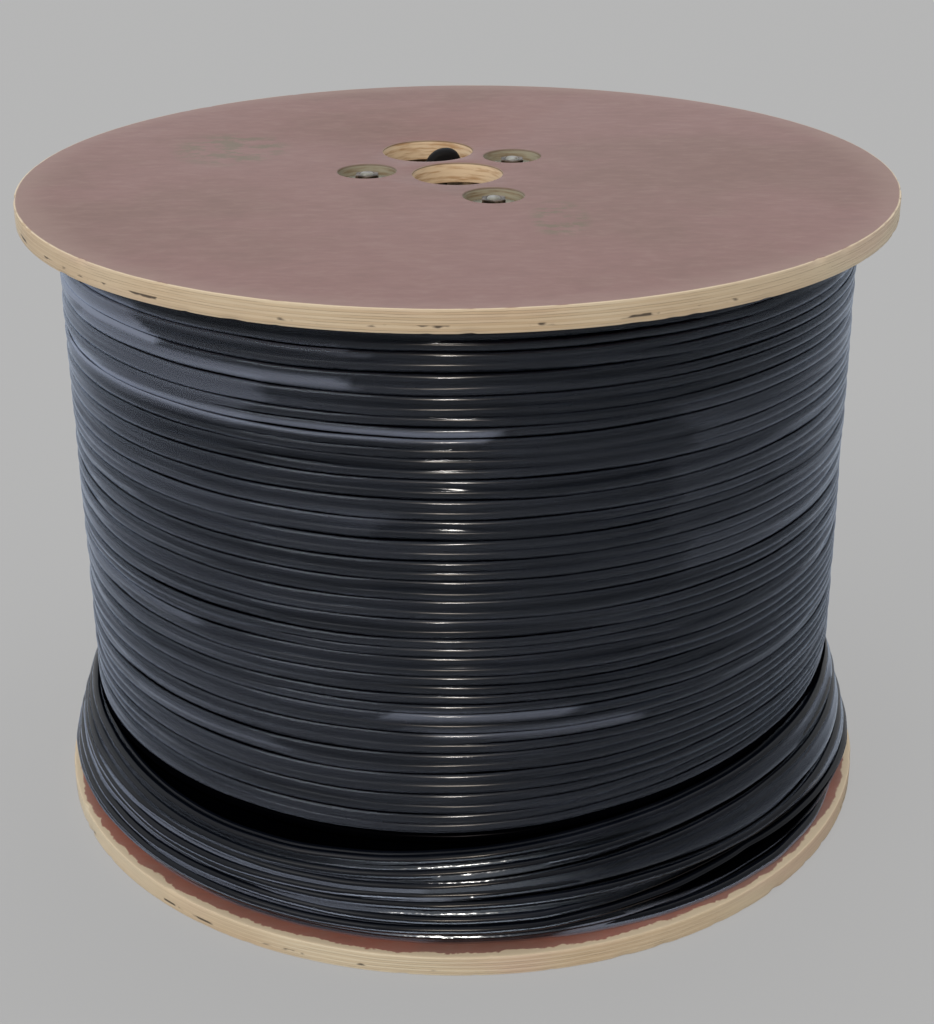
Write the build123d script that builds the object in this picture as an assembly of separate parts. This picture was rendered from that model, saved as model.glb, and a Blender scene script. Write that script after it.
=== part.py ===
from build123d import *
import os
from math import atan2, cos, degrees, hypot, radians, sin, tan

# Cable drum standing on one flange, full of cable and wrapped in clear film.
# Millimetres, +Z up. The origin is on the drum's axis, at the underside of the lower flange.

# Flanges: two plywood discs
flange_diameter = 500
flange_thickness = 12
inner_width = 350               # between the flanges' inner faces

# Holes that go through each flange
arbor_hole_diameter = 52
drive_hole_diameter = 54
drive_hole_offset = 59          # from the axis to the middle of the drive hole
drive_hole_angle = 107.5

# Tie rods that clamp the flanges on the barrel
rod_count = 3
rod_circle_radius = 53
rod_start_angle = 52
rod_diameter = 8
rod_hole_clearance = 1.0        # on the diameter, in the plywood and in the washer
rod_end_setback = 0.8           # rod end below the flange's outer face
recess_diameter = 34
recess_depth = 7
washer_diameter = 30
washer_thickness = 1.5
nut_across_flats = 13
nut_height = 4
nut_thread_clearance = 0.2      # on the diameter, in place of the thread

# Barrel: a cardboard tube let into a ring groove in each flange
barrel_diameter = 200
barrel_wall = 8
barrel_seat_depth = 4
barrel_seat_clearance = 0.25    # each side of the tube wall

# Wound cable: a tight straight wall that leans out above loosened turns, slumped onto the lower flange
winding_diameter = 457          # of the straight wall
winding_bore_clearance = 0.3    # between barrel and innermost layer
slump_height = 78               # above the lower flange, where the wall starts to lean out
loosened_turns = 4
loosened_turn_pitch = 9.75      # they lie almost two cable widths apart
fullest_turn = 2                # counted from the lower flange
slump_standout = 19             # of the fullest turn, beyond the straight wall
foot_standout = 4.5             # of the winding where it meets the lower flange
turn_groove_depth = 2.6         # between one loosened turn and the next

# Film wrapped round the winding
film_thickness = 0.4
film_clearance = 0.3

# Inner end of the cable: in through the barrel wall, up into the drive hole, doubled back and taped
cable_diameter = 5.5
lead_in_clearance = 0.6         # on the diameter of the slanting hole in the barrel
inner_end_slope = 50            # from level
fold_width = 22
fold_thickness = 9
fold_length = 20
fold_top_setback = 1.2          # below the upper flange's outer face
fold_beyond_hole_middle = 8     # further from the axis than the middle of the drive hole
fold_beside_hole_middle = 11.8  # clockwise of it, seen from above

# Derived sizes
overall_height = inner_width + 2 * flange_thickness
lower_inner_face = flange_thickness
upper_inner_face = flange_thickness + inner_width
barrel_radius = barrel_diameter / 2
barrel_inner_radius = barrel_radius - barrel_wall
winding_radius = winding_diameter / 2
winding_bore_radius = barrel_radius + winding_bore_clearance
slump_top = lower_inner_face + slump_height
fullest_height = lower_inner_face + (fullest_turn - 0.5) * loosened_turn_pitch
rod_hole_diameter = rod_diameter + rod_hole_clearance
washer_seat = overall_height - recess_depth
nut_seat = washer_seat + washer_thickness
fold_base = overall_height - fold_top_setback - fold_length


def polar(radius, angle):
    return radius * cos(radians(angle)), radius * sin(radians(angle))


def rod_places():
    return [polar(rod_circle_radius, rod_start_angle + 360 / rod_count * i) for i in range(rod_count)]


def cylinder_at(place, radius, low, high):
    x, y = place
    return Pos(x, y, low) * Cylinder(radius, high - low, align=(Align.CENTER, Align.CENTER, Align.MIN))


def mirrored_end(solid):
    # The same piece at the drum's other end
    middle = Plane.XY.offset(overall_height / 2)
    return mirror(solid, about=middle)


def upper_flange():
    low, high = upper_inner_face, overall_height
    disc = cylinder_at((0, 0), flange_diameter / 2, low, high)
    disc -= cylinder_at((0, 0), arbor_hole_diameter / 2, low, high)
    drive_place = polar(drive_hole_offset, drive_hole_angle)
    disc -= cylinder_at(drive_place, drive_hole_diameter / 2, low, high)
    for place in rod_places():
        disc -= cylinder_at(place, rod_hole_diameter / 2, low, high)
        disc -= cylinder_at(place, recess_diameter / 2, washer_seat, high)
    seat_top = low + barrel_seat_depth
    seat = cylinder_at((0, 0), barrel_radius + barrel_seat_clearance, low, seat_top)
    seat -= cylinder_at((0, 0), barrel_inner_radius - barrel_seat_clearance, low, seat_top)
    return disc - seat


def barrel():
    low = lower_inner_face - barrel_seat_depth
    high = upper_inner_face + barrel_seat_depth
    tube = cylinder_at((0, 0), barrel_radius, low, high) - cylinder_at((0, 0), barrel_inner_radius, low, high)
    return tube - slanting_run(cable_diameter + lead_in_clearance)


def tie_rod(place):
    return cylinder_at(place, rod_diameter / 2, rod_end_setback, overall_height - rod_end_setback)


def washer(place):
    disc = cylinder_at(place, washer_diameter / 2, washer_seat, nut_seat)
    return disc - cylinder_at(place, rod_hole_diameter / 2, washer_seat, nut_seat)


def at_both_ends(fastener):
    # One on each rod at the upper flange, and the same at the lower one
    upper = [fastener(place) for place in rod_places()]
    return Compound(upper + [mirrored_end(solid) for solid in upper])


def nut(place):
    x, y = place
    hexagon = RegularPolygon(nut_across_flats / 2, 6, major_radius=False)
    thread = Circle((rod_diameter + nut_thread_clearance) / 2)
    return Pos(x, y, nut_seat) * extrude(hexagon - thread, nut_height)


def crest_radius(height):
    # Straight flanks from the foot out to the fullest turn and back to the wall, as the tight film holds them
    foot_radius = winding_radius + foot_standout
    fullest_radius = winding_radius + slump_standout
    if height < fullest_height:
        share = (height - lower_inner_face) / (fullest_height - lower_inner_face)
        return foot_radius + (fullest_radius - foot_radius) * share
    share = min((height - fullest_height) / (slump_top - fullest_height), 1)
    return fullest_radius + (winding_radius - fullest_radius) * share


def winding():
    # Each loosened turn is a ridge of its own, its crest on the outline and a groove on either side
    outline = [(winding_bore_radius, lower_inner_face)]
    for turn in range(loosened_turns + 1):
        groove = lower_inner_face + turn * loosened_turn_pitch
        outline.append((crest_radius(groove) - turn_groove_depth, groove))
        if turn < loosened_turns:
            crest = groove + loosened_turn_pitch / 2
            outline.append((crest_radius(crest), crest))
    outline.append((winding_radius, slump_top))
    outline.append((winding_radius, upper_inner_face))
    outline.append((winding_bore_radius, upper_inner_face))
    section = Plane.XZ * make_face(Polyline(*outline, close=True))
    return revolve(section, Axis.Z)


def film():
    # A thin skin drawn tight over the turns, from the fullest one up to the upper flange
    heights = [fullest_height, slump_top, upper_inner_face - film_clearance]
    inside = [(crest_radius(height) + film_clearance, height) for height in heights]
    outside = [(radius + film_thickness, height) for radius, height in reversed(inside)]
    section = Plane.XZ * make_face(Polyline(*inside, *outside, close=True))
    return revolve(section, Axis.Z)


def fold_place():
    # Middle of the doubled-back end, seen from above
    x, y = polar(drive_hole_offset + fold_beyond_hole_middle, drive_hole_angle)
    across_x, across_y = polar(fold_beside_hole_middle, drive_hole_angle - 90)
    return x + across_x, y + across_y


def in_fold_plane(solid):
    # From the upright plane through the X axis to the one through the drum's axis and the fold
    x, y = fold_place()
    return Rot(0, 0, degrees(atan2(y, x))) * solid


def slanting_run(diameter):
    # A round run down and outwards from the foot of the fold, as long as it takes to pass the barrel wall
    radius = hypot(*fold_place())
    reach = 2 * barrel_radius / cos(radians(inner_end_slope))
    run = Cylinder(diameter / 2, reach, rotation=(0, 90 + inner_end_slope, 0))
    return in_fold_plane(Pos(radius, 0, fold_base) * run)


def inner_end():
    # The part of the slanting run between the barrel's outside and the fold
    low = fold_base - 2 * barrel_radius * tan(radians(inner_end_slope))
    return slanting_run(cable_diameter) & cylinder_at((0, 0), barrel_radius, low, fold_base)


def taped_fold():
    # The doubled-back end under its tape: an arch as wide as the fold
    half = fold_width / 2
    side = fold_length - half
    outline = Polyline((half, side), (half, 0), (-half, 0), (-half, side))
    outline += ThreePointArc((-half, side), (0, fold_length), (half, side))
    slab = extrude(Plane.YZ * make_face(outline), fold_thickness / 2, both=True)
    return in_fold_plane(Pos(hypot(*fold_place()), 0, fold_base) * slab)


pieces = {
    "top_flange": upper_flange(),
    "bottom_flange": mirrored_end(upper_flange()),
    "barrel": barrel(),
    "rod_washers": at_both_ends(washer),
    "rod_nuts": at_both_ends(nut),
    "cable_winding": winding(),
    "film_wrap": film(),
    "cable_inner_end": inner_end(),
    "taped_fold": taped_fold(),
}
for number, place in enumerate(rod_places(), start=1):
    pieces[f"tie_rod_{number}"] = tie_rod(place)

os.makedirs("parts", exist_ok=True)
for name, piece in pieces.items():
    export_step(piece, f"parts/{name}.step")
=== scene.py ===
import math
import bmesh
import bpy
from mathutils import Euler, Matrix, Vector, noise


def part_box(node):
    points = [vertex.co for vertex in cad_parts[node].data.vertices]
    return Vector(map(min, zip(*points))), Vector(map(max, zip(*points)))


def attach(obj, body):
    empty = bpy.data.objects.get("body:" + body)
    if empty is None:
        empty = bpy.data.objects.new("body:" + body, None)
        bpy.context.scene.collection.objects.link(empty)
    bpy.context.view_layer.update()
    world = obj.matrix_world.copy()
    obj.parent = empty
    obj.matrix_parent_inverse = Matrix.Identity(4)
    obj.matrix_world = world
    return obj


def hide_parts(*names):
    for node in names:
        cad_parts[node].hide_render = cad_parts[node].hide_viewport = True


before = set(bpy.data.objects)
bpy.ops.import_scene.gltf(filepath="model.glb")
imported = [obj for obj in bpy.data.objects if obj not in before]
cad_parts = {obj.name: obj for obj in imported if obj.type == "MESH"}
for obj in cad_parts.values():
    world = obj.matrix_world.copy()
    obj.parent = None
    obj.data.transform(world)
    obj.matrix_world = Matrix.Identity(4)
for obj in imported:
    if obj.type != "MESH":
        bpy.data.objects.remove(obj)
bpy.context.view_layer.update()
print("frame loaded:", len(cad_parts), "nodes")

# The sizes that several pieces share come from the frame
topLow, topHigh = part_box("top_flange")
bottomLow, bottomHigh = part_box("bottom_flange")
flangeRadius = (topHigh.x - topLow.x + topHigh.y - topLow.y) / 4
rodPlaces = [(sum(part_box(f"tie_rod_{i}"), Vector()) / 2).xy for i in (1, 2, 3)]
rodLow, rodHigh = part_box("tie_rod_1")
rodRadius = (rodHigh.x - rodLow.x) / 2


# Camera, light and floor

view = {
    "place": (0.0, -1.0575, 0.6385), "turn": 0.217, "down": 24.344, "roll": -0.431,      # metres and degrees
    "lens": 65.49, "sensorHeight": 36, "clipStart": 0.02,
}
light = {
    "skyColour": (0.94, 0.97, 1.0), "skyDim": 0.26, "skyBright": 1.0, "skyTowards": (-0.40, 0.80, 0.45),
    "skyRange": (-0.7, 0.8),        # cosine of the angle from there, where the sky is dimmest and brightest
    "keyColour": (1.0, 0.98, 0.96), "keyStrength": 0.50, "keyAngle": 34, "keyFrom": (-0.60, -0.52, 0.72),
    "topColour": (1.0, 1.0, 1.0), "topStrength": 0.40, "topAngle": 60, "topFrom": (0.20, 0.25, 1.0),
    "glintColour": (1.0, 0.86, 0.70), "glintStrength": 1.10, "glintAngle": 6,
    "glintFrom": (-0.055, -0.87, 0.49),
    "floorColour": (0.445, 0.445, 0.445), "floorEven": 0.72, "floorSize": 30.0,
}


def makeCamera():
    data = bpy.data.cameras.new("camera")
    data.sensor_fit = "VERTICAL"
    data.sensor_height = view["sensorHeight"]
    data.lens = view["lens"]
    data.clip_start = view["clipStart"]
    camera = bpy.data.objects.new("camera", data)
    bpy.context.scene.collection.objects.link(camera)
    aim = Euler((math.pi / 2 - math.radians(view["down"]), 0, -math.radians(view["turn"]))).to_matrix()
    aim = aim @ Matrix.Rotation(math.radians(view["roll"]), 3, "Z")
    camera.matrix_world = Matrix.Translation(view["place"]) @ aim.to_4x4()
    bpy.context.scene.camera = camera


def makeSun(name, colour, strength, angle, comesFrom):
    data = bpy.data.lights.new(name, "SUN")
    data.color = colour
    data.energy = strength
    data.angle = math.radians(angle)
    lamp = bpy.data.objects.new(name, data)
    bpy.context.scene.collection.objects.link(lamp)
    lamp.rotation_euler = Vector(comesFrom).to_track_quat("Z", "Y").to_euler()


def makeStudio():
    for kind in ("key", "top", "glint"):
        colour, strength = light[kind + "Colour"], light[kind + "Strength"]
        makeSun(kind, colour, strength, light[kind + "Angle"], light[kind + "From"])
    world = bpy.data.worlds.new("studio")
    bpy.context.scene.world = world
    world.use_nodes = True
    bpy.context.scene.view_settings.view_transform = "Standard"
    # A soft sky, brightest high up behind the drum and to its left, and dimmest on the camera's side
    nodes, links = world.node_tree.nodes, world.node_tree.links
    towards = nodes.new("ShaderNodeVectorMath")
    towards.operation = "DOT_PRODUCT"
    towards.inputs[1].default_value = Vector(light["skyTowards"]).normalized()
    links.new(nodes.new("ShaderNodeTexCoord").outputs["Generated"], towards.inputs[0])
    strength = nodes.new("ShaderNodeMapRange")
    strength.inputs["From Min"].default_value, strength.inputs["From Max"].default_value = light["skyRange"]
    strength.inputs["To Min"].default_value = light["skyDim"]
    strength.inputs["To Max"].default_value = light["skyBright"]
    links.new(towards.outputs["Value"], strength.inputs["Value"])
    sky = nodes["Background"]
    sky.inputs["Color"].default_value = (*light["skyColour"], 1)
    links.new(strength.outputs["Result"], sky.inputs["Strength"])
    bm = bmesh.new()
    bmesh.ops.create_grid(bm, x_segments=1, y_segments=1, size=light["floorSize"] / 2)
    mesh = bpy.data.meshes.new("floor")
    bm.to_mesh(mesh)
    bm.free()
    floor = bpy.data.objects.new("floor", mesh)
    bpy.context.scene.collection.objects.link(floor)
    mesh.materials.append(floorPaint())


# Node helpers

def plainMaterial(name, colour, roughness):
    material = bpy.data.materials.new(name)
    material.use_nodes = True
    shader = material.node_tree.nodes["Principled BSDF"]
    shader.inputs["Base Color"].default_value = (*colour, 1)
    shader.inputs["Roughness"].default_value = roughness
    return material


class Nodes:
    # Short calls for the nodes that the materials below are made of
    def __init__(self, material):
        self.tree = material.node_tree
        self.shader = self.tree.nodes.get("Principled BSDF")
        self.place = self.tree.nodes.new("ShaderNodeTexCoord").outputs["Object"]

    def add(self, kind, links=(), **settings):
        made = self.tree.nodes.new("ShaderNode" + kind)
        for key, value in settings.items():
            setattr(made, key, value)
        for socket, value in dict(links).items():
            self.set(made, socket, value)
        return made

    def set(self, made, socket, value):
        if isinstance(value, bpy.types.NodeSocket):
            self.tree.links.new(value, made.inputs[socket])
        elif isinstance(value, tuple) and len(value) == 3 and made.inputs[socket].type == "RGBA":
            made.inputs[socket].default_value = (*value, 1)
        else:
            made.inputs[socket].default_value = value

    def math(self, operation, a, b=0.0):
        return self.add("Math", {0: a, 1: b}, operation=operation).outputs[0]

    def times(self, a, b):
        return self.math("MULTIPLY", a, b)

    def plus(self, a, b):
        return self.math("ADD", a, b)

    def minus(self, a, b):
        return self.math("SUBTRACT", a, b)

    def over(self, a, b):
        return self.math("DIVIDE", a, b)

    def stretched(self, stretch):
        # Object coordinates, each axis multiplied
        return self.add("Mapping", {"Vector": self.place, "Scale": stretch}).outputs[0]

    def noise(self, scale, stretch=(1, 1, 1), detail=4.0, rough=0.55):
        made = self.add("TexNoise", {"Vector": self.stretched(stretch), "Scale": scale, "Detail": detail,
                                     "Roughness": rough})
        return made.outputs["Fac"]

    def ramp(self, value, low, high, smooth=True):
        # 0 below low, 1 above high, and it may fall instead
        kind = "SMOOTHSTEP" if smooth else "LINEAR"
        made = self.add("MapRange", {"Value": value, "From Min": low, "From Max": high},
                        interpolation_type=kind)
        return made.outputs["Result"]

    def mix(self, share, a, b, blend="MIX"):
        made = self.add("Mix", data_type="RGBA", blend_type=blend)
        self.set(made, 0, share)
        self.set(made, 6, a if isinstance(a, bpy.types.NodeSocket) else (*a, 1))
        self.set(made, 7, b if isinstance(b, bpy.types.NodeSocket) else (*b, 1))
        return made.outputs[2]

    def bump(self, height, distance, strength=1.0):
        made = self.add("Bump", {"Height": height, "Distance": distance, "Strength": strength})
        self.tree.links.new(made.outputs[0], self.shader.inputs["Normal"])
        return made.outputs[0]

    def paint(self, **sockets):
        for socket, value in sockets.items():
            self.set(self.shader, socket.replace("_", " "), value)

    def spread(self):
        # x, y, z and the distance from the drum's axis
        parts = self.add("SeparateXYZ", {"Vector": self.place})
        x, y, z = parts.outputs
        reach = self.math("SQRT", self.plus(self.times(x, x), self.times(y, y)))
        return x, y, z, reach


# Materials

def floorPaint():
    # Pale, and evened out to the camera and in reflections, with the drum's shadow still on it
    material = plainMaterial("floorPaint", light["floorColour"], 0.9)
    n = Nodes(material)
    path = n.add("LightPath")
    seen = n.math("MAXIMUM", path.outputs["Is Camera Ray"], path.outputs["Is Glossy Ray"])
    seen = n.math("MAXIMUM", seen, path.outputs["Is Transmission Ray"])
    even = n.add("Emission", {"Color": light["floorColour"], "Strength": 1.0})
    share = n.times(seen, light["floorEven"])
    mixed = n.add("MixShader", {0: share, 1: n.shader.outputs[0], 2: even.outputs[0]})
    n.tree.links.new(mixed.outputs[0], n.tree.nodes["Material Output"].inputs["Surface"])
    return material


facing = {
    # Reddish, greyish, the bare wood at the rim and how ragged it is
    "top": ((0.222, 0.121, 0.109), (0.196, 0.118, 0.101), 0.0012, 0.0012),
    "bottom": ((0.340, 0.115, 0.080), (0.230, 0.090, 0.062), 0.0060, 0.015),
    "pale": (0.31, 0.215, 0.185), "dark": (0.165, 0.098, 0.085), "scuff": (0.150, 0.120, 0.080),
    "wood": (0.64, 0.53, 0.38), "roughness": 0.52, "specular": 0.22,
    "grain": 170, "grainStrength": 0.30, "blotchStrength": 0.8, "wearStrength": 0.50, "scuffStrength": 0.85,
    # Each scuffed place's x and y, and half its reach along each
    "scuffed": ((-0.137, 0.065, 0.038, 0.046), (0.054, -0.098, 0.017, 0.040)),
}
veneers = {
    "pale": (0.69, 0.61, 0.46), "warm": (0.59, 0.46, 0.31), "pink": (0.62, 0.46, 0.37),
    "glue": (0.20, 0.12, 0.07), "gap": (0.035, 0.022, 0.015), "endGrain": (0.72, 0.62, 0.52),
    "plies": 9, "waviness": 0.0011, "lowSeam": 0.30,        # the share of the height at which gaps show
}


def facedPlywood(name, reddish, greyish, bareWidth, bareRaggedness):
    # Reddish film-faced plywood, mottled, faintly grained and scuffed, with bare wood near the torn rim
    material = plainMaterial(name, reddish, facing["roughness"])
    n = Nodes(material)
    x, y, z, reach = n.spread()
    blotches = n.noise(7, detail=6, rough=0.62)
    colour = n.mix(n.times(n.ramp(blotches, 0.42, 0.62), facing["blotchStrength"]), reddish, greyish)
    fine = n.noise(facing["grain"], (0.45, 1, 1), detail=3, rough=0.65)
    colour = n.mix(n.times(n.ramp(fine, 0.42, 0.80), facing["grainStrength"]), colour, facing["pale"])
    colour = n.mix(n.times(n.ramp(fine, 0.50, 0.25), facing["grainStrength"]), colour, facing["dark"])
    marks = n.ramp(n.noise(75, (0.6, 1, 1), detail=5, rough=0.7), 0.46, 0.56)
    for middleX, middleY, reachX, reachY in facing["scuffed"]:
        across = n.over(n.minus(x, middleX), reachX)
        along = n.over(n.minus(y, middleY), reachY)
        away = n.plus(n.times(across, across), n.times(along, along))
        share = n.times(n.ramp(away, 1.1, 0.3), marks)
        colour = n.mix(n.times(share, facing["scuffStrength"]), colour, facing["scuff"])
    worn = n.ramp(n.plus(reach, n.times(blotches, 0.04)), flangeRadius - 0.004, flangeRadius + 0.024)
    colour = n.mix(n.times(worn, facing["wearStrength"]), colour, facing["pale"])
    ragged = n.times(n.noise(30, detail=6, rough=0.75), bareRaggedness)
    edge = n.plus(n.minus(reach, flangeRadius - bareWidth), ragged)
    bare = n.ramp(edge, bareRaggedness * 0.62 - 0.0004, bareRaggedness * 0.62 + 0.0006)
    colour = n.mix(bare, colour, facing["wood"])
    n.paint(Base_Color=colour, Roughness=n.plus(n.times(blotches, 0.30), facing["roughness"] - 0.14),
            Specular_IOR_Level=facing["specular"])
    n.bump(n.minus(n.times(fine, 0.5), bare), 0.0002, 0.5)
    return material


def plywoodEdge(name, outerZ, innerZ):
    # Thin veneers laid crosswise, so that each shows end grain where its neighbour shows long grain
    low, thick = min(outerZ, innerZ), abs(outerZ - innerZ)
    material = plainMaterial(name, veneers["pale"], 0.62)
    n = Nodes(material)
    x, y, z, reach = n.spread()
    wave = n.times(n.minus(n.noise(16, (1, 1, 3), detail=3), 0.5), veneers["waviness"])
    level = n.over(n.minus(n.plus(z, wave), low), thick / veneers["plies"])
    within = n.math("FRACT", level)
    odd = n.math("FRACT", n.times(n.math("FLOOR", level), 0.5))
    odd = n.math("GREATER_THAN", odd, 0.25)
    across = n.over(n.times(x, x), n.times(reach, reach))
    endGrain = n.math("ABSOLUTE", n.minus(odd, across))
    streaks = n.noise(42, (1, 1, 34), detail=5, rough=0.7)
    colour = n.mix(n.ramp(n.noise(5, (1, 1, 2), detail=2), 0.35, 0.65), veneers["pale"], veneers["warm"])
    pinkish = n.ramp(n.noise(7.5, (1, 1, 4), detail=2), 0.52, 0.70)
    colour = n.mix(n.times(pinkish, 0.6), colour, veneers["pink"])
    colour = n.mix(n.times(endGrain, 0.42), colour, n.mix(1, colour, veneers["endGrain"], "MULTIPLY"))
    colour = n.mix(n.times(n.ramp(streaks, 0.50, 0.85), 0.75), colour, veneers["warm"])
    seam = n.times(n.ramp(n.math("ABSOLUTE", n.minus(within, 0.5)), 0.40, 0.5),
                  n.ramp(n.noise(26, (1, 1, 30), detail=3), 0.36, 0.62))
    colour = n.mix(n.times(seam, 0.55), colour, veneers["glue"])
    lowSeam = n.ramp(n.math("ABSOLUTE", n.minus(level, veneers["plies"] * veneers["lowSeam"])), 0.75, 0.25)
    dashes = n.times(n.ramp(n.noise(33, (1, 1, 2), detail=3, rough=0.7), 0.56, 0.62), lowSeam)
    colour = n.mix(n.times(dashes, 0.9), colour, veneers["gap"])
    n.paint(Base_Color=colour, Roughness=n.plus(n.times(streaks, 0.2), 0.5))
    height = n.minus(n.times(streaks, 0.5), n.plus(n.times(seam, 0.5), dashes))
    n.bump(height, 0.0004, 0.8)
    return material


cutWood = {
    "wall": (0.76, 0.59, 0.40), "recess": (0.36, 0.33, 0.25), "scorch": (0.62, 0.48, 0.36),
    "mouth": (0.14, 0.085, 0.06), "ringScale": 60,
}


def holeWood(name, outerZ, colour):
    # Cut wood of a hole's wall, scorched in rings by the cutter, with the facing's dark edge at its mouth
    material = plainMaterial(name, colour, 0.6)
    n = Nodes(material)
    x, y, z, reach = n.spread()
    rings = n.noise(cutWood["ringScale"], (1, 1, 9), detail=3)
    depth = n.math("ABSOLUTE", n.minus(z, outerZ))
    scorched = n.mix(n.ramp(rings, 0.40, 0.70), colour, n.mix(1, colour, cutWood["scorch"], "MULTIPLY"))
    mouth = n.ramp(n.plus(depth, n.times(rings, 0.0006)), 0.0014, 0.0008)
    n.paint(Base_Color=n.mix(n.times(mouth, 0.8), scorched, cutWood["mouth"]))
    n.bump(rings, 0.0003, 0.6)
    return material


jacket = {
    "plain": (0.010, 0.011, 0.015), "black": (0.002, 0.003, 0.006), "rubbed": (0.007, 0.009, 0.015),
    "roughness": 0.26, "smoothest": 0.15, "roughening": 0.14, "ior": 1.31,
}


def cableJacket():
    # Black polyethylene, a little dusty and rubbed along its length
    material = plainMaterial("cableJacket", jacket["plain"], jacket["roughness"])
    n = Nodes(material)
    rub = n.noise(13, (1, 1, 6), detail=2)
    n.paint(Base_Color=n.mix(n.ramp(rub, 0.45, 0.80), jacket["black"], jacket["rubbed"]), IOR=jacket["ior"])
    n.paint(Roughness=n.plus(n.times(rub, jacket["roughening"]), jacket["smoothest"]))
    return material


filmFinish = {
    "mirror": (0.78, 0.87, 1.0), "veil": (0.34, 0.39, 0.52), "clear": (0.95, 0.97, 1.0),
    # The colour that the film is painted deep in its creases, as shade
    "paintedCreaseShade": (0.10, 0.10, 0.12),
    "ior": 1.30, "roughness": 0.11, "edgeVeil": 0.68, "rumple": 0.0018, "rumpleScale": 50,
    # Crumpled at the front of the foot: how much rougher, more rumpled and shinier it is there
    "gatheredTop": 0.070, "gatheredWidth": 0.085, "rougher": 0.08, "rumpled": 0.7, "shinier": 0.15,
}


def clearFilm():
    # See-through, a mirror on top, a veil where several layers lie together, and painted with shade in its
    # creases, where it turns dark and loses its veil and reflection
    finish = filmFinish
    material = plainMaterial("clearFilm", finish["veil"], finish["roughness"])
    n = Nodes(material)
    x, y, z, reach = n.spread()
    layers = n.add("Attribute", attribute_name="veil").outputs["Fac"]
    # Painted shade: where the shade attribute is high the film is darkened and loses its veil and reflection
    outsidePaintedShade = n.ramp(n.add("Attribute", attribute_name="shade").outputs["Fac"], 0.62, 0.12)
    edgeOn = n.add("LayerWeight", {"Blend": 0.5})
    layers = n.plus(layers, n.times(n.math("POWER", edgeOn.outputs["Facing"], 4.0), finish["edgeVeil"]))
    layers = n.times(layers, outsidePaintedShade)
    gathered = n.times(n.ramp(z, finish["gatheredTop"], finish["gatheredTop"] - 0.010),
                       n.ramp(n.math("ABSOLUTE", x), finish["gatheredWidth"], 0.010))
    roughness = n.plus(n.times(gathered, finish["rougher"]), finish["roughness"])
    rumpled = n.plus(n.times(gathered, finish["rumpled"]), 0.006)
    creases = n.bump(n.noise(finish["rumpleScale"], (1, 1, 1.9), detail=3, rough=0.6), finish["rumple"])
    n.tree.links.new(rumpled, creases.node.inputs["Strength"])
    mirror = n.add("BsdfGlossy", {"Color": finish["mirror"], "Roughness": roughness, "Normal": creases})
    veil = n.add("BsdfDiffuse", {"Color": finish["veil"]})
    clear = n.add("BsdfTransparent", {"Color": n.mix(outsidePaintedShade, finish["paintedCreaseShade"], finish["clear"])})
    body = n.add("MixShader", {0: layers, 1: clear.outputs[0], 2: veil.outputs[0]})
    fresnel = n.add("Fresnel", {"IOR": finish["ior"], "Normal": creases})
    shine = n.times(n.plus(fresnel.outputs[0], n.times(gathered, finish["shinier"])), outsidePaintedShade)
    skin = n.add("MixShader", {0: shine, 1: body.outputs[0], 2: mirror.outputs[0]})
    n.tree.links.new(skin.outputs[0], n.tree.nodes["Material Output"].inputs["Surface"])
    n.tree.nodes.remove(n.shader)
    return material


steel = {
    # Colour, and how clean it is; the nuts' near-black colour is partly rust and partly painted shade
    "nut": ((0.070, 0.055, 0.042), 0.40), "washer": ((0.55, 0.57, 0.52), 0.52),
    "rod": ((0.34, 0.33, 0.30), 0.50), "tarnish": (0.66, 0.64, 0.58), "rust": (0.085, 0.055, 0.035),
    "rustStrength": 0.8, "roughness": 0.38,
}


def zincSteel(name, colour, clean):
    # Zinc-plated, dulled, and rusty wherever a cloudy pattern is over the clean share
    material = plainMaterial(name, colour, steel["roughness"])
    n = Nodes(material)
    cloud = n.noise(160, detail=4)
    rust = n.ramp(n.noise(150, detail=4), clean, clean + 0.12)
    metal = n.mix(n.ramp(cloud, 0.3, 0.7), colour, n.mix(1, colour, steel["tarnish"], "MULTIPLY"))
    n.paint(Base_Color=n.mix(n.times(rust, steel["rustStrength"]), metal, steel["rust"]),
            Metallic=n.ramp(rust, 1.0, 0.2, False))
    n.paint(Roughness=n.plus(n.times(cloud, 0.3), 0.25))
    n.bump(n.noise(900, detail=2), 0.00005, 0.4)
    return material


board = {
    "plain": (0.42, 0.31, 0.20), "pale": (0.45, 0.33, 0.21), "dark": (0.33, 0.24, 0.15), "roughness": 0.8,
}


def tubeBoard():
    # Grey-brown board with short fibres in it
    material = plainMaterial("tubeBoard", board["plain"], board["roughness"])
    n = Nodes(material)
    fibre = n.noise(240, (1, 1, 0.4), detail=5)
    n.paint(Base_Color=n.mix(n.ramp(fibre, 0.3, 0.7), board["pale"], board["dark"]))
    n.bump(fibre, 0.0002, 0.4)
    return material


tape = {
    "colour": (0.005, 0.005, 0.006), "roughness": 0.6, "smoothest": 0.50, "roughening": 0.2, "specular": 0.12,
}


def blackTape():
    # Dull and slightly wrinkled
    material = plainMaterial("blackTape", tape["colour"], tape["roughness"])
    n = Nodes(material)
    roughness = n.plus(n.times(n.noise(120, detail=3), tape["roughening"]), tape["smoothest"])
    n.paint(Roughness=roughness, Specular_IOR_Level=tape["specular"])
    n.bump(n.noise(420, (1, 1, 3), detail=3), 0.0002, 0.5)
    return material


# Mesh helpers

def spun(points, steps, closed=False):
    # A turned surface from (radius, height) points, round the drum's axis
    bm = bmesh.new()
    verts = [bm.verts.new((radius, 0, height)) for radius, height in points]
    pairs = list(zip(verts, verts[1:]))
    if closed:
        pairs.append((verts[-1], verts[0]))
    edges = [bm.edges.new(pair) for pair in pairs]
    bmesh.ops.spin(bm, geom=verts + edges, cent=(0, 0, 0), axis=(0, 0, 1), dvec=(0, 0, 0),
                   angle=2 * math.pi, steps=steps, use_merge=True, use_duplicate=False)
    return bm


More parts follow.
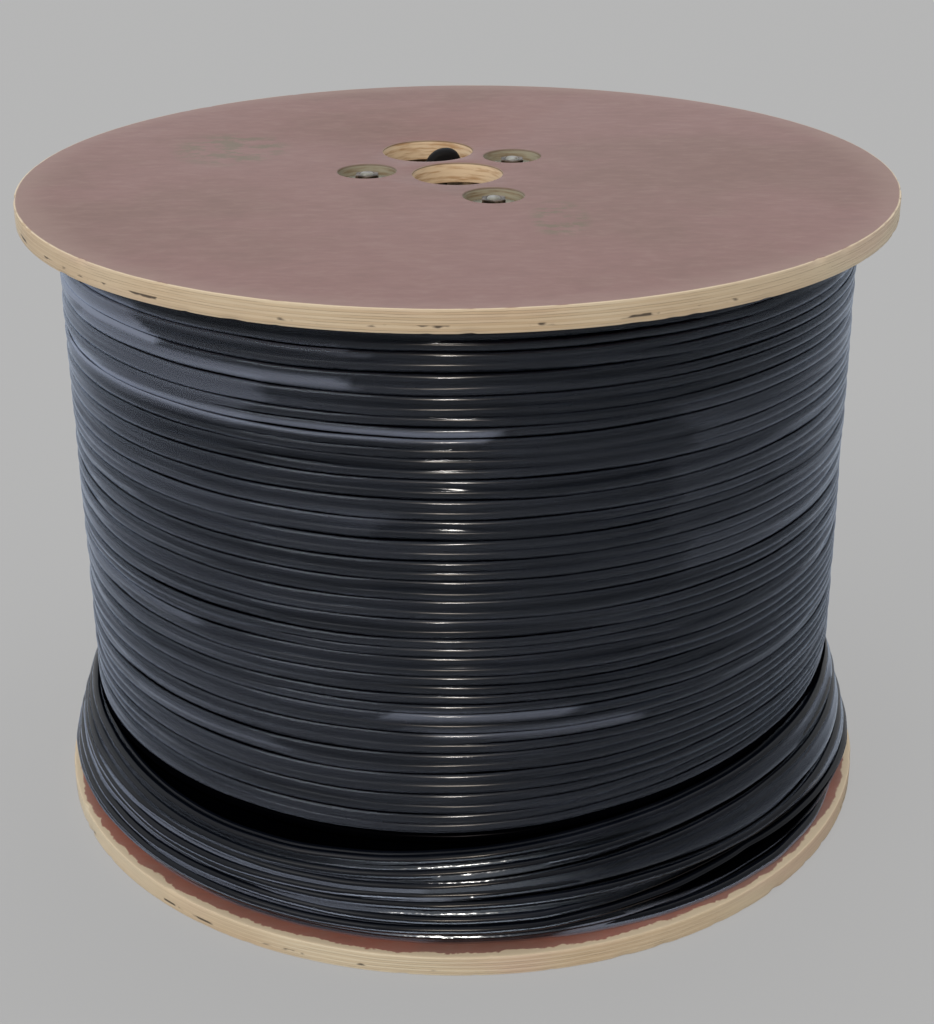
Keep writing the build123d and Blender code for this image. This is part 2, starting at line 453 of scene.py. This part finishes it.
def turnedWall(bm, place, steps, path):
    # A circle extruded from one radius and height to the next; gives its first and last edges
    radius, height = path[0]
    made = bmesh.ops.create_circle(bm, cap_ends=False, segments=steps, radius=radius,
                                   matrix=Matrix.Translation((*place, height)))
    first = loop = list(dict.fromkeys(edge for vert in made["verts"] for edge in vert.link_edges))
    for wider, further in path[1:]:
        grown = bmesh.ops.extrude_edge_only(bm, edges=loop)["geom"]
        loop = [item for item in grown if isinstance(item, bmesh.types.BMEdge)]
        verts = [item for item in grown if isinstance(item, bmesh.types.BMVert)]
        for vert in verts:
            vert.co.x = place[0] + (vert.co.x - place[0]) * wider / radius
            vert.co.y = place[1] + (vert.co.y - place[1]) * wider / radius
            vert.co.z = further
        radius = wider
    return first, loop


def finishPiece(name, bm, materials, nodes=(), sharp=80):
    # Sharp is the angle in degrees from which an edge isn't smoothed
    bmesh.ops.recalc_face_normals(bm, faces=bm.faces)
    mesh = bpy.data.meshes.new(name)
    bm.to_mesh(mesh)
    bm.free()
    mesh.shade_smooth()
    mesh.set_sharp_from_angle(angle=math.radians(sharp))
    for material in materials:
        mesh.materials.append(material)
    piece = bpy.data.objects.new(name, mesh)
    bpy.context.scene.collection.objects.link(piece)
    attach(piece, "root")
    if nodes:
        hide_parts(*nodes)
    return piece


def swing(vert):
    # Angle round the axis, 0 at the front and growing to the viewer's right
    return math.atan2(vert.co.x, -vert.co.y)


def aroundNoise(angle, scale, height, seed):
    # Noise that closes on itself round the drum
    return noise.noise(Vector((math.sin(angle) * scale, math.cos(angle) * scale + seed, height)))


# Flanges

flange = {
    "steps": 540, "bandWidth": 0.012, "edgeRound": 0.0007, "holeSteps": 96, "holeRound": 0.0005,
    "chipDepth": 0.00352, "chipReach": 0.0030, "chipScale": 26, "chipsFrom": 0.22, "uneven": 0.00010,
    "topSeed": 1.0, "bottomSeed": 6.0,
    "arborRadius": 0.026, "driveRadius": 0.027, "driveOffset": 0.059, "driveAngle": 107.5,
    "recessRadius": 0.017, "recessDepth": 0.007, "rodHoleRadius": 0.0045, "recessSteps": 64,
    "seatOuter": 0.10025, "seatInner": 0.09175, "seatDepth": 0.004,
}


def makeFlange(name, outerZ, innerZ, faced, seed):
    out = 1 if outerZ > innerZ else -1
    turn = flange["edgeRound"]
    band = flangeRadius - flange["bandWidth"]
    ring = [(band, outerZ), (flangeRadius - 2.2 * turn, outerZ), (flangeRadius - turn, outerZ),
            (flangeRadius - 0.3 * turn, outerZ - out * 0.3 * turn), (flangeRadius, outerZ - out * turn)]
    for share in (0.2, 0.4, 0.6, 0.8):
        ring.append((flangeRadius, outerZ + (innerZ - outerZ) * share))
    ring += [(flangeRadius, innerZ + out * turn), (flangeRadius - 0.3 * turn, innerZ + out * 0.3 * turn),
             (flangeRadius - turn, innerZ), (flangeRadius - 2.2 * turn, innerZ), (band, innerZ)]
    bm = spun(ring, flange["steps"])
    for vert in bm.verts:
        # Small splinters are missing along both edges, and the rim isn't quite even
        if vert.co.xy.length > band + 0.003:
            angle = swing(vert)
            fromOuter, fromInner = abs(vert.co.z - outerZ), abs(vert.co.z - innerZ)
            edgeNear = max(0.0, 1 - min(fromOuter, fromInner) / flange["chipReach"])
            side = 5.0 if fromOuter < fromInner else 11.0
            chip = max(0.0, aroundNoise(angle, flange["chipScale"], side, seed) - flange["chipsFrom"])
            worn = (aroundNoise(angle, 60, vert.co.z * 300, seed + 3) + 0.3) * flange["uneven"]
            shrink = 1 - (chip * edgeNear * flange["chipDepth"] + max(0.0, worn)) / flangeRadius
            vert.co.x *= shrink
            vert.co.y *= shrink
    borders = [edge for edge in bm.edges if edge.is_boundary]
    outerLoop = [edge for edge in borders if abs(edge.verts[0].co.z - outerZ) < 1e-6]
    innerLoop = [edge for edge in borders if abs(edge.verts[0].co.z - innerZ) < 1e-6]
    soft = flange["holeRound"]
    outerHoles, innerHoles = [], []
    drive = math.radians(flange["driveAngle"])
    drivePlace = (flange["driveOffset"] * math.cos(drive), flange["driveOffset"] * math.sin(drive))
    for place, radius in (((0, 0), flange["arborRadius"]), (drivePlace, flange["driveRadius"])):
        path = [(radius + soft, outerZ), (radius + 0.3 * soft, outerZ - out * 0.3 * soft),
                (radius, outerZ - out * soft), (radius, innerZ + out * soft), (radius + soft, innerZ)]
        first, last = turnedWall(bm, place, flange["holeSteps"], path)
        outerHoles += first
        innerHoles += last
    floor = outerZ - out * flange["recessDepth"]
    for place in rodPlaces:
        wide, narrow = flange["recessRadius"], flange["rodHoleRadius"]
        path = [(wide + soft, outerZ), (wide, outerZ - out * soft), (wide, floor), (narrow, floor),
                (narrow, innerZ)]
        first, last = turnedWall(bm, tuple(place), flange["recessSteps"], path)
        outerHoles += first
        innerHoles += last
    seat = innerZ + out * flange["seatDepth"]
    path = [(flange["seatOuter"], innerZ), (flange["seatOuter"], seat), (flange["seatInner"], seat),
            (flange["seatInner"], innerZ)]
    first, last = turnedWall(bm, (0, 0), flange["holeSteps"], path)
    for loops in (outerLoop + outerHoles, innerLoop + first, last + innerHoles):
        bmesh.ops.triangle_fill(bm, use_beauty=True, use_dissolve=False, edges=loops)
    bmesh.ops.recalc_face_normals(bm, faces=bm.faces)
    holes = [(0, 0, flange["arborRadius"]), (*drivePlace, flange["driveRadius"])]
    recesses = [(*place, flange["recessRadius"]) for place in rodPlaces]
    for face in bm.faces:
        flat = abs(face.normal.z) > 0.9
        onFace = min(abs(vert.co.z - z) for vert in face.verts for z in (outerZ, innerZ)) < 1e-6
        middle = face.calc_center_median()
        face.material_index = 0 if flat and onFace and middle.z not in (floor, seat) else 1
        for spot, (holeX, holeY, radius) in enumerate(holes + recesses):
            if math.hypot(middle.x - holeX, middle.y - holeY) < radius + soft * 0.9:
                face.material_index = 2 if spot < 2 else 3
    materials = [facedPlywood(name + "Facing", *faced), plywoodEdge(name + "Edge", outerZ, innerZ),
                 holeWood(name + "Hole", outerZ, cutWood["wall"]),
                 holeWood(name + "Recess", outerZ, cutWood["recess"])]
    return finishPiece(name + "_plywood", bm, materials, [name], sharp=28)


# Wound cable

winding = {
    "steps": 240, "wallRadius": 0.2285, "pitch": 0.0055, "tightFrom": 0.078, "creaseDepth": 0.0021,
    "liftUp": 0.00025, "liftDown": 0.0016, "wander": 0.0008, "shift": 0.0007,
    "hiddenRadius": 0.2225, "boreRadius": 0.1003,
}
bunch = {
    "turns": 9, "cableRadius": 0.00275, "steps": 256, "ringPoints": 10,
    "fullestHeight": 0.0250, "fullestRadius": 0.2475, "footRadius": 0.2365, "slumpTop": 0.090,
    "behind": 0.0044, "wander": 0.0030, "sunkAtMost": 0.0022,
    # The gap under the wall, how much wider it gets and at which angle, and how deep its lower side lies
    "gap": 0.0050, "widerGap": 0.0098, "widestAt": -0.62, "tuckedIn": 0.004,
    # At the right, the hollow and the roll under it, and the angle of each
    "hollow": 0.012, "hollowAt": 0.75, "roll": 0.0055, "rollAt": 0.85,
}
wallTurns = round((topLow.z - winding["tightFrom"]) / winding["pitch"])
wallPitch = (topLow.z - winding["tightFrom"]) / wallTurns


def crestRadius(height):
    # The outline that the loosened turns fill, out from the foot to the fullest turn and back to the wall
    low, top = bottomHigh.z, bunch["slumpTop"]
    if height < bunch["fullestHeight"]:
        share = (height - low) / (bunch["fullestHeight"] - low)
        return bunch["footRadius"] + (bunch["fullestRadius"] - bunch["footRadius"]) * max(share, 0)
    share = min((height - bunch["fullestHeight"]) / (top - bunch["fullestHeight"]), 1)
    return bunch["fullestRadius"] + (winding["wallRadius"] - bunch["fullestRadius"]) * share


def wallEdge(angle):
    # Height where the tight wall ends over the loosened turns, lowest at the front left, highest at the right
    return winding["tightFrom"] - 0.001 + 0.0030 * math.sin(angle - 0.3) - 0.0045 * math.cos(angle + 1.57) \
        - 0.0020 * math.cos(2 * angle + 1.0) - 0.0045 * math.cos(angle) ** 8


def turnLift(index, angle):
    # How far a turn stands out of the even wall, or is sunk into it
    slow = aroundNoise(angle, 1.7, index * 0.83, 2.0) + 0.5 * aroundNoise(angle, 5.0, index * 1.31, 7.0)
    return slow * (winding["liftUp"] if slow > 0 else winding["liftDown"])


def turnShift(index, angle):
    # A turn's own way up or down, which opens the crease on one side of it and closes the other
    slow = aroundNoise(angle, 2.1, index * 1.73, 12.0) + 0.4 * aroundNoise(angle, 6, index * 0.9, 14.0)
    return winding["shift"] * slow


def lowRight(index, angle):
    # 1 for the lowest turns of the wall at the viewer's right, 0 at the left and from the fourteenth up
    return max(0.0, math.sin(angle)) * max(0.0, 1 - index / 14)


def placeOnWall(index, share, angle):
    # Height of a point of the wall, and how far the crease there has opened
    height = winding["tightFrom"] + (index + share) * wallPitch
    shift = turnShift(index, angle) * (1 + 1.2 * lowRight(index, angle))
    opened = 0.0
    if share == 0:
        below = turnShift(index - 1, angle)
        opened = shift - below
        shift = (shift + below) / 2
    fade = min(1, (topLow.z - height) / (2 * wallPitch))
    lower = max(0.0, 1 - (height - winding["tightFrom"]) / 0.07)
    bend = aroundNoise(angle, 1.2, height * 18, 4.0) + 0.4 * aroundNoise(angle, 4, height * 60, 9.0)
    height += fade * (shift + winding["wander"] * bend) + lower * (wallEdge(angle) - winding["tightFrom"])
    return height, opened


def makeWinding():
    # One turn's outline, as shares of the pitch and of the crease's depth
    shape = [(0.0, 1.0), (0.12, 0.46), (0.31, 0.10), (0.5, 0.0), (0.69, 0.10), (0.88, 0.46)]
    rows = [(index, share, sunk) for index in range(wallTurns) for share, sunk in shape]
    points = [(1.0, row) for row in range(len(rows) + 1)]
    points = [(0.4, len(rows)), (0.4, -1), (0.9, -1)] + points
    bm = spun(points, winding["steps"], closed=True)
    for vert in bm.verts:
        angle, radius, row = swing(vert), vert.co.xy.length, round(vert.co.z)
        if row in (-1, len(rows)):
            radius = winding["boreRadius"] if radius < 0.6 else winding["hiddenRadius"]
            height = bottomHigh.z if row == -1 else topLow.z
        else:
            index, share, sunk = rows[row]
            height, opened = placeOnWall(index, share, angle)
            lift = turnLift(index, angle)
            if share == 0:
                lift = min(lift, turnLift(index - 1, angle)) - 1.3 * max(opened, -0.0004)
            radius = winding["wallRadius"] + lift - sunk * winding["creaseDepth"]
            if row == 0:
                radius = winding["hiddenRadius"]
        vert.co = (math.sin(angle) * radius, -math.cos(angle) * radius, height)
    return finishPiece("wound_cable", bm, [cableJacket()], ["cable_winding"])


def bunchHollows(share, angle):
    # The uppermost turn is tucked in under the wall, front and left, and at the right some low ones are sunk;
    # the film over them is also given painted shade
    turn = share * (bunch["turns"] - 1)
    tucked = max(0.0, math.cos(angle - bunch["widestAt"])) ** 3 * min(max(turn - 6.5, 0) / 1.4, 1)
    hollow = max(0.0, 1 - abs(angle - bunch["hollowAt"]) / 0.58) * max(0.0, 1 - abs(turn - 2.2) / 1.9)
    return tucked, hollow


def bunchPlace(turn, angle, behind):
    # Middle of a loosened turn: squeezed together on the viewer's left and fanned out on the right
    low = bottomHigh.z + 0.0030
    wider = bunch["widerGap"] * max(0.0, math.cos(angle - bunch["widestAt"])) ** 7
    high = wallEdge(angle) - bunch["gap"] - wider - 0.0006 * math.sin(angle)
    share = min((turn + (0.5 if behind else 0)) / (bunch["turns"] - 1), 1)
    height = low + (high - low) * share ** (1.0 + 0.22 * math.sin(angle + 0.4))
    height += bunch["wander"] * aroundNoise(angle, 1.3, turn * 0.9, 21.0) * math.sin(math.pi * share)
    sunk = bunch["sunkAtMost"] * max(0.0, aroundNoise(angle, 1.6, turn * 1.7, 31.0))
    sunk += 0.0005 * aroundNoise(angle, 9, turn, 3.0) + 0.0004
    tucked, hollow = bunchHollows(share, angle)
    sunk += bunch["tuckedIn"] * tucked + bunch["hollow"] * hollow
    # The lowest turn stands out like a roll under that hollow
    stoodOut = max(0.0, 1 - abs(angle - bunch["rollAt"]) / 0.65) ** 0.7 * max(0.0, 1 - share * 8)
    sunk -= bunch["roll"] * stoodOut
    return crestRadius(height) - bunch["cableRadius"] - sunk - (bunch["behind"] if behind else 0), height


def makeBunch(name, behind):
    bm = bmesh.new()
    upright = Matrix.Rotation(math.pi / 2, 4, "X")
    for turn in range(bunch["turns"]):
        bmesh.ops.create_circle(bm, cap_ends=False, segments=bunch["ringPoints"], radius=bunch["cableRadius"],
                                matrix=Matrix.Translation((1, 0, turn)) @ upright)
    bmesh.ops.spin(bm, geom=bm.verts[:] + bm.edges[:], cent=(0, 0, 0), axis=(0, 0, 1), dvec=(0, 0, 0),
                   angle=2 * math.pi, steps=bunch["steps"], use_merge=True, use_duplicate=False)
    for vert in bm.verts:
        # Each ring was spun round a metre out, a metre over the last, to be laid in its place here
        turn, angle = round(vert.co.z), swing(vert)
        radius, height = bunchPlace(turn, angle, behind)
        radius += vert.co.xy.length - 1
        vert.co = (math.sin(angle) * radius, -math.cos(angle) * radius, height + vert.co.z - turn)
    return finishPiece(name, bm, [bpy.data.materials["cableJacket"]])


# Film

film = {
    "steps": 256, "clear": 0.0004, "sag": 0.0024, "veil": 0.020,
    # Where several layers lie together: angles and heights between which, and how much veil
    "patches": (
        (-79, -27, 0.298, 0.328, 0.10), (-79, -44, 0.331, 0.350, 0.34), (-64, -16, 0.326, 0.3305, 0.20),
        (-72, 2, 0.3005, 0.3055, 0.26), (-60, -12, 0.343, 0.3475, 0.22), (-72, -8.5, 0.249, 0.262, 0.06),
        (28, 66, 0.214, 0.311, 0.035), (-12, 14, 0.1445, 0.1500, 0.17), (-5, 23, 0.135, 0.1405, 0.15),
        (-52, -24, 0.117, 0.122, 0.13), (-67, -38, 0.178, 0.183, 0.16), (100, 172, 0.18, 0.26, 0.06),
        (-172, -108, 0.10, 0.16, 0.06), (-88, -4, 0.012, 0.050, 0.22), (12, 84, 0.011, 0.0200, 0.36),
        (22, 84, 0.036, 0.076, 0.012),
    ),
}


def filmSag(index, angle):
    # Tight film bridges every other crease on the left and follows most of them on the right
    pairs = min(max(0.42 - 0.35 * math.sin(angle) + aroundNoise(angle, 0.9, index * 0.11, 35.0), 0), 0.8)
    pairs = (pairs if index % 2 else -pairs) + 0.9 * lowRight(index, angle)
    slack = 0.62 + pairs + 0.8 * aroundNoise(angle, 1.3, index * 0.71, 41.0)
    slack += 0.3 * aroundNoise(angle, 4.5, index * 1.9, 47.0)
    return film["sag"] * min(max(slack, 0.03), 1.15)


def filmVeil(angle, height):
    turned = math.degrees(angle)
    streak = aroundNoise(angle, 1.1, height * 130, 61.0)
    veil = film["veil"] * (1 - 0.75 * math.sin(angle)) * (1 + 1.5 * streak)
    if bottomHigh.z + 0.046 < height < wallEdge(angle) - 0.001:
        veil *= 0.2
    for low, high, bottom, top, amount in film["patches"]:
        ragged = 6 * streak
        inside = min((turned - low - ragged) / 1.5, (high + ragged - turned) / 1.5, (height - bottom) / 0.001,
                     (top - height) / 0.001)
        veil += amount * (1 + 0.9 * streak) * min(max(inside + 0.5, 0.0), 1.0)
    return max(veil, 0.0)


def bunchPairs(index, angle):
    # At the right the film draws the loosened turns together in pairs
    return (0.55 if index % 2 == 0 else -0.75) * max(0.0, math.sin(angle))


def filmShade(kind, index, part, angle):
    # How much painted shade the film gets, 1 deep in a crease, which no light leaves; the gap under the wall
    # and the hollows among the loosened turns are painted too
    if kind == "gap":
        return 1.0
    if kind == "wall" and index == 0:
        return 1.0
    if kind == "wall":
        return min(filmSag(index, angle) / film["sag"], 1.0) if part == 0 else 0.0
    tucked, hollow = bunchHollows((index + part) / (bunch["turns"] - 1), angle)
    crease = 0.0
    if part == 0.5:
        crease = 0.30 + 0.4 * math.sin(angle) + 0.6 * aroundNoise(angle, 2.0, index * 1.1, 57.0)
        crease += bunchPairs(index, angle)
    return min(max(crease, 0.3 * tucked, 1.8 * hollow, 0.0), 1.0)


def filmOnBunch(index, part, angle):
    radius, height = bunchPlace(index, angle, False)
    radius += bunch["cableRadius"] + film["clear"]
    if part < 0:
        return radius - 0.0008, height - 0.0026
    if part == 0 or index == bunch["turns"] - 1:
        return radius - 0.010 * part ** 2, height + 0.0026 * part
    above = bunchPlace(index + 1, angle, False)
    gap = max(above[1] - height, 0.003)
    loose = 0.80 + 0.9 * aroundNoise(angle, 2.4, index * 1.3, 51.0) + bunchPairs(index, angle)
    sag = min(0.55 * gap, 0.0045) * min(max(loose, 0.1), 1.0)
    radius = radius * (1 - part) + (above[0] + bunch["cableRadius"] + film["clear"]) * part
    return radius - sag * (1.0 if part == 0.5 else 0.70), height + gap * part


def makeFilm():
    rows = [("bunch", 0, -0.5)]
    rows += [("bunch", turn, part) for turn in range(bunch["turns"]) for part in (0.0, 0.27, 0.5, 0.73)]
    rows += [("gap", 0, 0.0), ("gap", 0, 1.0)]
    rows += [("wall", index, share) for index in range(wallTurns) for share in (0.0, 0.14, 0.5, 0.86)]
    bm = spun([(1.0, row) for row in range(len(rows))], film["steps"])
    # The veil layer sets the film's haze, and the shade layer its painted shade, which darkens it and takes
    # out its reflection
    veil, shade = bm.verts.layers.float.new("veil"), bm.verts.layers.float.new("shade")
    for vert in bm.verts:
        kind, index, part = rows[round(vert.co.z)]
        angle = swing(vert)
        if kind == "bunch":
            radius, height = filmOnBunch(index, part, angle)
        elif kind == "gap":
            # Drawn in between the wall's lower edge and the uppermost loosened turn, and painted fully dark
            # there as shade
            top = bunchPlace(bunch["turns"] - 1, angle, False)[1] + 0.0032
            radius = winding["hiddenRadius"] + 0.0012
            height = max(top * (1 - part) + (wallEdge(angle) - 0.0007) * part, top)
        else:
            height, opened = placeOnWall(index, part, angle)
            lift = turnLift(index, angle)
            if part == 0:
                lift = max(lift, turnLift(index - 1, angle)) - filmSag(index, angle) - 0.8 * max(opened, 0.0)
            elif part != 0.5:
                lift -= 0.20 * filmSag(index if part < 0.5 else index + 1, angle)
            radius = winding["wallRadius"] + max(lift, -0.0032) + film["clear"]
            if index == 0 and part == 0:
                radius = winding["hiddenRadius"] + 0.0015
        vert[veil], vert[shade] = filmVeil(angle, height), filmShade(kind, index, part, angle)
        vert.co = (math.sin(angle) * radius, -math.cos(angle) * radius, height)
    piece = finishPiece("stretch_film", bm, [clearFilm()], ["film_wrap"])
    piece.visible_shadow = False        # clear film takes almost no light
    return piece


# Fasteners and the taped end of the cable

fastener = {
    "nutRadius": 0.0075, "nutHeight": 0.004, "chamfer": 0.0006, "bore": 0.0041, "washerRadius": 0.015,
    "washerHeight": 0.0015, "washerBore": 0.0045, "washerRound": 0.0003, "threadPitch": 0.00125,
    "threadDepth": 0.0005, "threadLength": 0.012, "rodEndRound": 0.0008, "steps": 48,
}


def bothEnds():
    # Each rod's place, the height of the recess floor and the way out, at either end of the drum
    for place in rodPlaces:
        yield place, topHigh.z - flange["recessDepth"], 1
        yield place, bottomLow.z + flange["recessDepth"], -1


def makeNuts(material):
    size = fastener
    bm = bmesh.new()
    for place, floor, out in bothEnds():
        low = floor + out * size["washerHeight"]
        high = low + out * size["nutHeight"]
        lift = out * size["chamfer"] * 0.6
        radius = size["nutRadius"]
        path = [(radius - size["chamfer"], low), (radius, low + lift), (radius, high - lift),
                (radius - size["chamfer"], high)]
        lowHex, highHex = turnedWall(bm, tuple(place), 6, path)
        wide = size["bore"] + size["chamfer"]
        path = [(wide, low), (size["bore"], low + lift), (size["bore"], high - lift), (wide, high)]
        lowBore, highBore = turnedWall(bm, tuple(place), size["steps"] // 2, path)
        for loops in (lowHex + lowBore, highHex + highBore):
            bmesh.ops.triangle_fill(bm, use_beauty=True, use_dissolve=False, edges=loops)
    return finishPiece("hex_nuts", bm, [material], ["rod_nuts"], sharp=25)


def makeWashers(material):
    size = fastener
    bm = bmesh.new()
    for place, floor, out in bothEnds():
        high = floor + out * size["washerHeight"]
        bore, radius, soft = size["washerBore"], size["washerRadius"], size["washerRound"]
        path = [(bore, floor), (bore, high - out * soft), (bore + soft, high),
                (radius - soft, high), (radius, high - out * soft), (radius, floor)]
        inner, outer = turnedWall(bm, tuple(place), size["steps"], path)
        bmesh.ops.bridge_loops(bm, edges=inner + outer)
    return finishPiece("bevelled_washers", bm, [material], ["rod_washers"], sharp=25)


def makeRods(material):
    # Plain between the flanges, threaded at both ends, as ridges one over the other
    size = fastener
    low, high = rodLow.z, rodHigh.z
    bm = bmesh.new()
    for place in rodPlaces:
        path = [(rodRadius - size["rodEndRound"], low)]
        turns = round(size["threadLength"] / size["threadPitch"])
        for start, way in ((low + 0.0003, 1), (high - 0.0003, -1)):
            ridge = []
            for index in range(turns):
                root = start + way * index * size["threadPitch"]
                crest = root + way * size["threadPitch"] / 2
                ridge += [(rodRadius - size["threadDepth"], root), (rodRadius, crest)]
            path += ridge if way == 1 else ridge[::-1]
        path.append((rodRadius - size["rodEndRound"], high))
        for loop in turnedWall(bm, tuple(place), 24, path):
            bmesh.ops.triangle_fill(bm, use_beauty=True, use_dissolve=False, edges=loop)
    rods = ["tie_rod_1", "tie_rod_2", "tie_rod_3"]
    return finishPiece("threaded_rods", bm, [material], rods, sharp=50)


fold = {
    "width": 0.022, "thickness": 0.009, "height": 0.020, "turned": 7.5, "leftShoulder": 0.0125,
    "rightShoulder": 0.0085, "softness": 0.0034,
}


def makeTapedFold(material):
    # The doubled-back end under its tape, a rounded lump with one shoulder fuller than the other
    low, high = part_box("taped_fold")
    size = (fold["width"], fold["thickness"], fold["height"], 1)
    nearTop, nearSide = fold["height"] * 0.49, fold["width"] * 0.49
    bm = bmesh.new()
    bmesh.ops.create_cube(bm, size=1, matrix=Matrix.Diagonal(size))
    for side, reach in ((-1, fold["leftShoulder"]), (1, fold["rightShoulder"])):
        shoulder = [edge for edge in bm.edges
                    if all(vert.co.z > nearTop and side * vert.co.x > nearSide for vert in edge.verts)]
        bmesh.ops.bevel(bm, geom=shoulder, offset=reach, offset_type="OFFSET", segments=9, profile=0.5,
                        affect="EDGES", material=-1)
    # Every sharp edge is softened but those at the foot
    rounded = [edge for edge in bm.edges if edge.calc_face_angle() > 0.9
               and (min(vert.co.z for vert in edge.verts) > -nearTop
                    or abs(edge.verts[0].co.z - edge.verts[1].co.z) > 0.002)]
    bmesh.ops.bevel(bm, geom=rounded, offset=fold["softness"], offset_type="OFFSET", segments=4, profile=0.5,
                    affect="EDGES", material=-1)
    turned = Matrix.Rotation(math.radians(fold["turned"]), 4, "Z")
    bmesh.ops.transform(bm, verts=bm.verts, matrix=Matrix.Translation((low + high) / 2) @ turned)
    return finishPiece("taped_loop", bm, [material], ["taped_fold"], sharp=40)


makeCamera()
makeStudio()
print("camera and light set")
makeFlange("top_flange", topHigh.z, topLow.z, facing["top"], flange["topSeed"])
makeFlange("bottom_flange", bottomLow.z, bottomHigh.z, facing["bottom"], flange["bottomSeed"])
print("flanges made")
makeWinding()
makeBunch("loosened_turns", False)
makeBunch("turns_behind", True)
print("winding made")
makeFilm()
print("film made")

# The nuts are near black, partly for rust and partly as painted shade
makeNuts(zincSteel("darkSteelPaintedShade", *steel["nut"]))
makeWashers(zincSteel("dullZinc", *steel["washer"]))
makeRods(zincSteel("brightZinc", *steel["rod"]))
makeTapedFold(blackTape())
print("fasteners and taped end made")

for nodeName, material in (("barrel", tubeBoard()), ("cable_inner_end", bpy.data.materials["cableJacket"])):
    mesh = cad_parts[nodeName].data
    mesh.materials.clear()
    mesh.materials.append(material)
